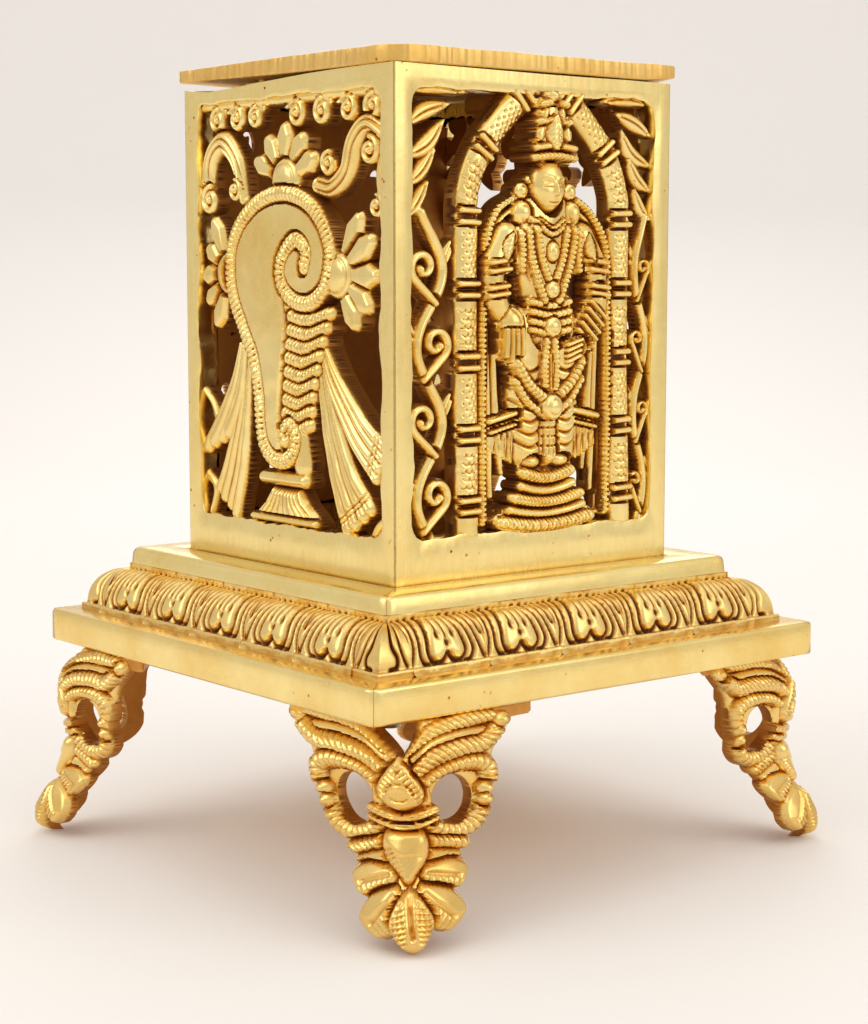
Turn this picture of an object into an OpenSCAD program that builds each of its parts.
// Votive candle rack: a square brass lantern box of four openwork panels with a
// lift-off lid, standing in the rim of a footed base. Front is -Y, up is +Z and the
// origin is on the floor under the middle of the base.

/* [Base] */
// Height of the cast feet
foot_h = 48; // [44:1:54]
// Side of the square base slab
slab_w = 136; // [132:1:144]
// Thickness of the base slab
slab_t = 8; // [7:0.5:10]
// Height of the petal moulding
mould_h = 12; // [11:0.5:15]
// Height of the rim that the box stands in
rim_h = 4; // [3:0.5:6]
// Turn of the feet about the middle of the base, as they were fitted by hand
foot_turn = 4.4; // [0:0.1:6]

/* [Box] */
// Outer width of the box
box_w = 84; // [82:1:86]
// Height of the panels
panel_h = 118; // [114:1:124]
// Thickness of a panel's frame
frame_t = 5.5; // [5:0.5:6.5]
// Thickness of a panel's ornament
ornament_t = 3.5; // [2.5:0.5:4.5]
// Width of the upright frame bars
stile_w = 5.4; // [4.5:0.2:6]
// Width of the upper frame bar
top_rail = 5; // [4:0.5:6.5]
// Height of the lower frame bar, with the part inside the rim
bottom_rail = 13.6; // [12:0.2:15]

/* [Lid] */
// Width of the lid plate
lid_w = 87; // [85:0.5:90]
// Thickness of the lid plate
lid_t = 4; // [2.5:0.1:5]
// Radius of the lid's corners
lid_r = 2.5; // [1:0.5:4]
// Radius of its worn corner, at the front left
worn_r = 8; // [5:1:12]

/* [Candle cup] */
// Bore radius of the candle cup
cup_r = 20; // [19.5:0.1:21]
// Depth of the candle cup
cup_depth = 12; // [10:1:16]

/* [Hidden] */
$fn = 48;

brass = "#d8b04a";
dark_brass = "#a67c2e";
steel = "#9a9a98";
eps = 0.01;

// Levels, from the floor up
slab_z = foot_h;
mould_z = slab_z + slab_t;
rim_z = mould_z + mould_h;
floor_t = 2;
floor_z = rim_z - floor_t;
box_z = rim_z;
box_top = box_z + panel_h;
sill_z = box_z + bottom_rail;
head_z = box_top - top_rail;

// Half widths of the base's steps
slab_half = slab_w/2;
hollow_half = 48;
mould_foot_half = slab_half - 6;
mould_top_half = 53;
rim_top_half = 52.2;
rim_gap = 1.2;
rim_hole_half = box_w/2 + rim_gap;
floor_half = hollow_half - 0.2;

// Feet: how far the corner edge stands out from the middle along X and Y, and the
// width of each wing there, by height as a share of foot_h
foot_wall = 5;
foot_edge = [[0, 66.4], [0.03, 69], [0.09, 71.2], [0.15, 70.6], [0.24, 68], [0.33, 65.2],
             [0.42, 63.8], [0.52, 63.4], [0.64, 64.6], [0.76, 65.4], [0.9, 65.4], [1, 64.3]];
wing_width = [[0, 5], [0.03, 8], [0.09, 14], [0.15, 15.5], [0.24, 14], [0.33, 12.5],
              [0.42, 12.6], [0.52, 16], [0.64, 22], [0.76, 25], [0.9, 33], [1, 36]];
flange_t = 3;
foot_hole_r = 1.7;
foot_hole_at = [[54.5, 47], [47, 54.5]];

// Screws
foot_screw_r = 1.5;
foot_screw_l = 8;
small_screw_r = 1.25;
floor_screw_at = 45.5;
panel_screw_at = 20;
head_ratio = 1.75;
head_t = 1.6;

// Candle cup and its tray
cup_wall = 1.2;
cup_floor = 2.2;
tray_r = 32;
tray_t = 1.2;
tray_bead_r = 0.9;
cup_z = box_z + tray_t;
cup_screw_r = 2;
cup_head_r = 3.6;
cup_head_t = 1.6;
nut_r = 4;
nut_t = 3;

// Lid fittings
cleat_l = 50;
cleat_t = 3;
cleat_h = 4;
cleat_gap = 0.3;
cleat_mid = box_w/2 - frame_t - cleat_gap - cleat_t/2;
rivet_at = 18;
rivet_r = 1.2;
rivet_head_r = 2.4;
rivet_head_t = 1.2;

// ---- Flat shapes for the openwork, as seen from outside: X to the right, Y up ----

function unit(v) = v/max(norm(v), eps);
function turned(v) = [-v[1], v[0]];
function way(p, i) = unit(p[min(i + 1, len(p) - 1)] - p[max(i - 1, 0)]);
function arc(c, rx, ry, a0, a1, n = 12) =
    [for (i = [0 : n]) let (a = a0 + (a1 - a0)*i/n) c + [rx*cos(a), ry*sin(a)]];
function spiral(c, r0, r1, a0, a1, n = 18) =
    [for (i = [0 : n]) let (a = a0 + (a1 - a0)*i/n, r = r0 + (r1 - r0)*i/n) c + r*[cos(a), sin(a)]];
function bent(a, b, bow, n = 10) =
    [for (i = [0 : n]) a + (b - a)*i/n + turned(unit(b - a))*bow*sin(180*i/n)];
function waved(a, b, bow, n = 14) =
    [for (i = [0 : n]) a + (b - a)*i/n + turned(unit(b - a))*bow*sin(360*i/n)];

// A bar that follows the points p, from width w0 to width w1
module bar(p, w0, w1) {
    last = len(p) - 1;
    half = [for (i = [0 : last]) (w0 + (w1 - w0)*i/last)/2];
    polygon(concat([for (i = [0 : last]) p[i] + half[i]*turned(way(p, i))],
                   [for (i = [last : -1 : 0]) p[i] - half[i]*turned(way(p, i))]));
}

// A pointed leaf from a to b
module leaf(a, b, w, n = 8) {
    side = w/2*turned(unit(b - a));
    polygon(concat([for (i = [0 : n]) a + (b - a)*i/n + side*sin(180*i/n)],
                   [for (i = [n - 1 : -1 : 1]) a + (b - a)*i/n - side*sin(180*i/n)]));
}

// A fan of petals that opens from c in direction a
module rosette(c, a, r, w, spread = 38, petals = 5) {
    for (i = [0 : petals - 1]) {
        t = a + spread*(i - (petals - 1)/2);
        leaf(c, c + r*[cos(t), sin(t)], w);
    }
    translate(c)
        circle(r*0.42);
}

// A stand on the lower rail: a foot, a stem and a top disc
module pedestal(x, half, h) {
    polygon([[x - half, sill_z - 2], [x + half, sill_z - 2], [x + half, sill_z + h*0.35],
             [x + half*0.55, sill_z + h*0.6], [x + half*0.7, sill_z + h],
             [x - half*0.7, sill_z + h], [x - half*0.55, sill_z + h*0.6],
             [x - half, sill_z + h*0.35]]);
}

module mirrored_pair() {
    children();
    mirror([1, 0])
        children();
}

// ---- One openwork panel, with its ends mitred to its neighbours ----

module panel(turn) {
    inner = box_w/2 - frame_t;
    set_back = 1;
    opening = box_w - 2*stile_w;
    rotate([0, 0, turn])
        difference() {
            intersection() {
                translate([0, -inner, 0])
                    rotate([90, 0, 0])
                        union() {
                            linear_extrude(frame_t)
                                difference() {
                                    translate([-box_w/2, box_z])
                                        square([box_w, panel_h]);
                                    translate([-opening/2, sill_z])
                                        square([opening, head_z - sill_z]);
                                }
                            translate([0, 0, frame_t - set_back - ornament_t])
                                linear_extrude(ornament_t)
                                    intersection() {
                                        translate([-box_w/2 + 1, sill_z - 1])
                                            square([box_w - 2, head_z - sill_z + 2]);
                                        union()
                                            children();
                                    }
                        }
                linear_extrude(box_top + 1)
                    polygon([[-box_w/2, -box_w/2], [box_w/2, -box_w/2],
                             [inner, -inner], [-inner, -inner]]);
            }
            for (x = [-panel_screw_at, panel_screw_at])
                translate([x, -box_w/2 + frame_t/2, box_z - 1])
                    cylinder(r = small_screw_r, h = 8);
        }
}

// ---- Openwork of each side ----

module conch_work() {
    bottom = 94.5;
    tall = 67.5;
    steps = 24;
    function shell(i, side) =
        let (s = i/steps, half = 21.6*pow(sin(180*pow(s, 1.9)), 0.8))
        [-2.6 + side*half, bottom + tall*s];
    polygon(concat([for (i = [1 : steps - 1]) shell(i, 1)],
                   [for (i = [steps - 1 : -1 : 1]) shell(i, -1)]));
    bar(arc([-3.5, 98], 6, 7, 100, 330), 3, 2);
    pedestal(0.5, 15, 11);
    bar([[-3, 90], [-3, 100]], 8, 6);
    rosette([-1, 162], 90, 15, 8, 30);
    bar([[-1, 172], [-1, 182]], 4, 4);
    rosette([19, 142], 0, 17, 8, 36);
    rosette([-23, 143], 180, 15, 8, 36);
    for (s = [-1, 1]) {
        bar(waved([s*16, 134], [s*20, 81], s*3), 7, 6);
        bar(waved([s*19, 128], [s*37, 92], -s*2), 7, 6);
        bar(bent([s*20, 108], [s*31, 80], s*3), 6, 6);
        bar(spiral([s*27, 172], 9, 2, 90 - s*60, 90 - s*420), 3, 2);
        bar(bent([s*37, 160], [s*17, 181], s*4), 4, 3);
        leaf([s*37, 178], [s*18, 160], 7);
        leaf([s*10, 182], [s*17, 166], 6);
        leaf([s*37, 150], [s*25, 162], 6);
        bar([[s*33, 116], [s*37, 116]], 3, 3);
        bar(bent([s*30, 112], [s*37, 128], s*2), 4, 3);
    }
}

module arch(outer_x, top_x) {
    mirrored_pair()
        bar(concat([for (i = [0 : 4]) [outer_x, 80 + i*17]],
                   arc([outer_x - 21, 148], 21, 24, 8, 62),
                   [[top_x, 182]]), 7, 6);
}

module border_vine(x) {
    for (i = [0 : 4])
        bar(waved([x, 82 + i*16], [x, 98 + i*16], i % 2 == 0 ? 2.4 : -2.4), 3, 3);
    for (i = [0 : 5])
        leaf([x - 4.6, 84 + i*14], [x + 4.6, 90 + i*14], 4);
}

module upper_corner() {
    leaf([37, 181], [20, 168], 9);
    leaf([37, 176], [30, 158], 7);
    leaf([16, 182], [24, 172], 6);
}

// A plain standing figure: head, tall cap, shoulders, robe and raised arm
module standing_figure() {
    translate([1, 158.5])
        circle(7.2);
    polygon([[-6.5, 164], [8.5, 164], [6, 172], [3, 181.5], [-1, 181.5], [-4, 172]]);
    bar([[1, 154], [1, 148]], 7, 8);
    polygon([[-15.5, 149], [-9, 152.5], [10.5, 152.5], [17, 149], [14, 126], [16, 92],
             [-13, 92], [-11, 126]]);
    bar(bent([-15, 148], [-17, 132], 2), 7, 6);
    bar([[-17, 134], [-9, 126]], 6, 5);
    bar(bent([17, 148], [20, 134], -2), 7, 6);
    bar([[20, 136], [12, 122]], 6, 5);
    pedestal(1.5, 16, 11);
    for (s = [-1, 1]) {
        bar(waved([1.5 + s*15, 126], [1.5 + s*19, 84], s*1.5), 7, 5);
        bar([[s*14, 104], [s*26, 104]], 3, 3);
        bar([[s*13, 140], [s*27, 144]], 3, 3);
    }
}

module figure_work() {
    standing_figure();
    arch(27.5, 4);
    mirrored_pair() {
        border_vine(33.6);
        upper_corner();
    }
}

module wheel_work() {
    hub = [0, 138];
    difference() {
        translate(hub)
            circle(23);
        translate(hub)
            circle(16.5);
    }
    translate(hub)
        circle(6);
    for (i = [0 : 7])
        bar([hub + 4*[cos(45*i), sin(45*i)], hub + 19*[cos(45*i), sin(45*i)]], 4, 5);
    for (a = [0, 90, 180])
        rosette(hub + 22*[cos(a), sin(a)], a, 16, 8, 32);
    bar([[0, 168], [0, 182]], 4, 4);
    pedestal(0, 15, 11);
    bar([[0, 90], [0, 118]], 8, 6);
    for (s = [-1, 1]) {
        bar(waved([s*4, 114], [s*14, 80], s*2), 7, 6);
        bar(waved([s*18, 124], [s*37, 92], -s*2), 7, 6);
        bar(bent([s*16, 120], [s*27, 80], s*3), 6, 6);
        bar(spiral([s*27, 172], 9, 2, 90 - s*60, 90 - s*420), 3, 2);
        leaf([s*37, 178], [s*18, 160], 7);
        leaf([s*10, 182], [s*17, 160], 6);
        leaf([s*37, 146], [s*22, 162], 6);
        bar(bent([s*30, 108], [s*37, 128], s*2), 4, 3);
    }
}

module lotus_work() {
    arch(27.5, 2);
    mirrored_pair() {
        border_vine(33.6);
        upper_corner();
        bar(waved([3, 124], [14, 84], 2), 6, 5);
        bar([[8, 140], [27, 146]], 3, 3);
        bar([[10, 106], [26, 104]], 3, 3);
        bar(bent([3, 152], [24, 132], 5), 5, 4);
    }
    rosette([0, 128], 90, 26, 14, 26, 7);
    leaf([0, 150], [0, 183], 11);
    bar([[0, 88], [0, 132]], 10, 12);
    pedestal(0, 16, 11);
}

// ---- Base ----

// A square ring whose outer side follows the profile [[half width, height], ...]
module square_ring(profile, hole_half) {
    outline = concat(profile, [for (i = [len(profile) - 1 : -1 : 0]) [-profile[i][0], profile[i][1]]]);
    reach = 2*slab_w;
    top = profile[len(profile) - 1][1];
    bottom = profile[0][1];
    difference() {
        intersection() {
            rotate([90, 0, 0])
                linear_extrude(reach, center = true)
                    polygon(outline);
            rotate([90, 0, 90])
                linear_extrude(reach, center = true)
                    polygon(outline);
        }
        translate([-hole_half, -hole_half, bottom - 1])
            cube([2*hole_half, 2*hole_half, top - bottom + 2]);
    }
}

module base_slab() {
    edge = 0.6;
    color(brass)
        difference() {
            square_ring([[slab_half - edge, slab_z], [slab_half, slab_z + edge],
                         [slab_half, mould_z - edge], [slab_half - edge, mould_z]], hollow_half);
            at_feet()
                for (p = foot_hole_at)
                    translate([p[0], p[1], slab_z - 1])
                        cylinder(r = foot_screw_r, h = 1 + foot_screw_l - flange_t);
        }
}

module lotus_moulding() {
    steps = 8;
    fillet = 1.4;
    fall = mould_foot_half - mould_top_half - 1;
    rise = mould_h - 2*fillet;
    bulge = [for (i = [0 : steps]) [mould_top_half + fall*pow(cos(90*i/steps), 0.9),
                                    mould_z + fillet + rise*sin(90*i/steps)]];
    color(brass)
        square_ring(concat([[mould_foot_half, mould_z], [mould_foot_half, mould_z + fillet]], bulge,
                           [[mould_top_half, rim_z]]), hollow_half);
}

module seat_rim() {
    color(brass)
        difference() {
            square_ring([[mould_top_half, rim_z], [mould_top_half, rim_z + rim_h - 0.8],
                         [rim_top_half, rim_z + rim_h]], rim_hole_half);
            at_corners(floor_screw_at)
                translate([0, 0, rim_z - 1])
                    cylinder(r = small_screw_r, h = 4);
        }
}

module floor_plate() {
    color(dark_brass)
        difference() {
            translate([-floor_half, -floor_half, floor_z])
                cube([2*floor_half, 2*floor_half, floor_t]);
            at_corners(floor_screw_at)
                translate([0, 0, floor_z - 1])
                    cylinder(r = small_screw_r, h = floor_t + 2);
            at_panels()
                translate([0, 0, floor_z - 1])
                    cylinder(r = small_screw_r, h = floor_t + 2);
            translate([0, 0, floor_z - 1])
                cylinder(r = cup_screw_r, h = floor_t + 2);
        }
}

module at_corners(d) {
    for (x = [-d, d])
        for (y = [-d, d])
            translate([x, y, 0])
                children();
}

module at_panels() {
    for (turn = [0 : 90 : 270])
        rotate([0, 0, turn])
            for (x = [-panel_screw_at, panel_screw_at])
                translate([x, -box_w/2 + frame_t/2, 0])
                    children();
}

// The four feet are one casting, set round the base a quarter turn apart
module at_feet() {
    for (turn = [0 : 90 : 270])
        rotate([0, 0, turn + foot_turn])
            children();
}

// One wing of a foot, which runs back along Y from the corner edge on the +X side
module foot_wing() {
    edge = [for (p = foot_edge) [p[1], p[0]*foot_h]];
    back = [for (i = [len(foot_edge) - 1 : -1 : 0])
            [foot_edge[i][1] - wing_width[i][1], foot_edge[i][0]*foot_h]];
    wall = [for (i = [len(edge) - 1 : -1 : 0]) edge[i] - [foot_wall, 0]];
    eye = [52, 0.8*foot_h];
    intersection() {
        rotate([90, 0, 0])
            linear_extrude(2*slab_w, center = true)
                polygon(concat(edge, wall));
        rotate([90, 0, 90])
            linear_extrude(slab_w)
                difference() {
                    polygon(concat(edge, back));
                    translate(eye)
                        circle(4.4);
                }
    }
}

module foot(turn) {
    color(brass)
        rotate([0, 0, turn + foot_turn])
            difference() {
                union() {
                    foot_wing();
                    mirror([1, -1, 0])
                        foot_wing();
                    translate([0, 0, slab_z - flange_t])
                        linear_extrude(flange_t)
                            polygon([[64, 30], [64, 64], [30, 64], [30, 60], [60, 30]]);
                }
                for (p = foot_hole_at)
                    translate([p[0], p[1], slab_z - flange_t - 1])
                        cylinder(r = foot_hole_r, h = flange_t + 2);
            }
}

module foot_back_right() foot(0);
module foot_back_left() foot(90);
module foot_front_left() foot(180);
module foot_front_right() foot(270);

// ---- Fasteners ----

// A round-headed screw with its head down, its shank starting at z = 0
module screw(r, l) {
    translate([0, 0, -head_t])
        cylinder(r = r*head_ratio, h = head_t);
    cylinder(r = r, h = l);
}

module foot_screws() {
    color(steel)
        at_feet()
            for (p = foot_hole_at)
                translate([p[0], p[1], slab_z - flange_t])
                    screw(foot_screw_r, foot_screw_l);
}

module floor_screws() {
    color(steel)
        at_corners(floor_screw_at)
            translate([0, 0, floor_z])
                screw(small_screw_r, floor_t + 3);
}

module panel_screws() {
    color(steel)
        at_panels()
            translate([0, 0, floor_z])
                screw(small_screw_r, floor_t + 6);
}

// ---- Panels ----

module panel_figure() color(brass) panel(0) figure_work();
module panel_wheel() color(brass) panel(90) wheel_work();
module panel_lotus() color(brass) panel(180) lotus_work();
module panel_conch() color(brass) panel(270) conch_work();

// ---- Candle cup ----

module drip_tray() {
    color(dark_brass)
        difference() {
            union() {
                translate([0, 0, box_z])
                    cylinder(r = tray_r, h = tray_t);
                translate([0, 0, box_z + tray_bead_r])
                    rotate_extrude()
                        translate([tray_r, 0])
                            circle(tray_bead_r);
            }
            translate([0, 0, box_z - 1])
                cylinder(r = cup_screw_r, h = tray_t + 2);
        }
}

module candle_cup() {
    lip = 1;
    outer = cup_r + cup_wall;
    height = cup_floor + cup_depth;
    color(brass)
        translate([0, 0, cup_z])
            difference() {
                rotate_extrude()
                    polygon([[cup_screw_r, 0], [outer, 0], [outer, height - lip], [outer + lip, height - lip],
                             [outer + lip, height], [cup_r, height], [cup_r, cup_floor],
                             [cup_screw_r, cup_floor]]);
                translate([0, 0, cup_floor])
                    sunk_head();
            }
}

// The countersunk head of the cup's screw, below z = 0
module sunk_head() {
    translate([0, 0, -cup_head_t])
        cylinder(r1 = cup_screw_r, r2 = cup_head_r, h = cup_head_t);
}

module cup_screw() {
    top = cup_z + cup_floor;
    below_nut = 1;
    length = top - floor_z + nut_t + below_nut;
    color(steel)
        translate([0, 0, top]) {
            sunk_head();
            translate([0, 0, -length])
                cylinder(r = cup_screw_r, h = length);
        }
}

module cup_nut() {
    color(steel)
        translate([0, 0, floor_z - nut_t])
            difference() {
                cylinder(r = nut_r, h = nut_t, $fn = 6);
                translate([0, 0, -1])
                    cylinder(r = cup_screw_r, h = nut_t + 2);
            }
}

// ---- Lid ----

// One corner of the lid, cut back to a radius r, out to the point [half, half]
module lid_corner(half, r) {
    square([half, half - r]);
    square([half - r, half]);
    translate([half - r, half - r])
        circle(r);
}

module lid_plate() {
    corner_r = [lid_r, lid_r, worn_r, lid_r];
    color(brass)
        difference() {
            translate([0, 0, box_top])
                linear_extrude(lid_t)
                    for (k = [0 : 3])
                        rotate(90*k)
                            translate([-eps, -eps])
                                lid_corner(lid_w/2 + eps, corner_r[k]);
            at_rivets()
                rivet();
        }
}

module lid_cleats() {
    color(dark_brass)
        difference() {
            for (turn = [0 : 90 : 270])
                rotate([0, 0, turn])
                    translate([-cleat_l/2, -cleat_mid - cleat_t/2, box_top - cleat_h])
                        cube([cleat_l, cleat_t, cleat_h]);
            at_rivets()
                rivet();
        }
}

module at_rivets() {
    for (turn = [0 : 90 : 270])
        rotate([0, 0, turn])
            for (x = [-rivet_at, rivet_at])
                translate([x, -cleat_mid, box_top])
                    children();
}

// A countersunk rivet: its head is flush with the lid's top
module rivet() {
    translate([0, 0, -cleat_h])
        cylinder(r = rivet_r, h = cleat_h + lid_t);
    translate([0, 0, lid_t - rivet_head_t])
        cylinder(r1 = rivet_r, r2 = rivet_head_r, h = rivet_head_t);
}

module lid_rivets() {
    color(dark_brass)
        at_rivets()
            rivet();
}

base_slab();
lotus_moulding();
seat_rim();
floor_plate();
foot_front_left();
foot_front_right();
foot_back_right();
foot_back_left();
foot_screws();
floor_screws();
panel_figure();
panel_conch();
panel_wheel();
panel_lotus();
panel_screws();
drip_tray();
candle_cup();
cup_screw();
cup_nut();
lid_plate();
lid_cleats();
lid_rivets();
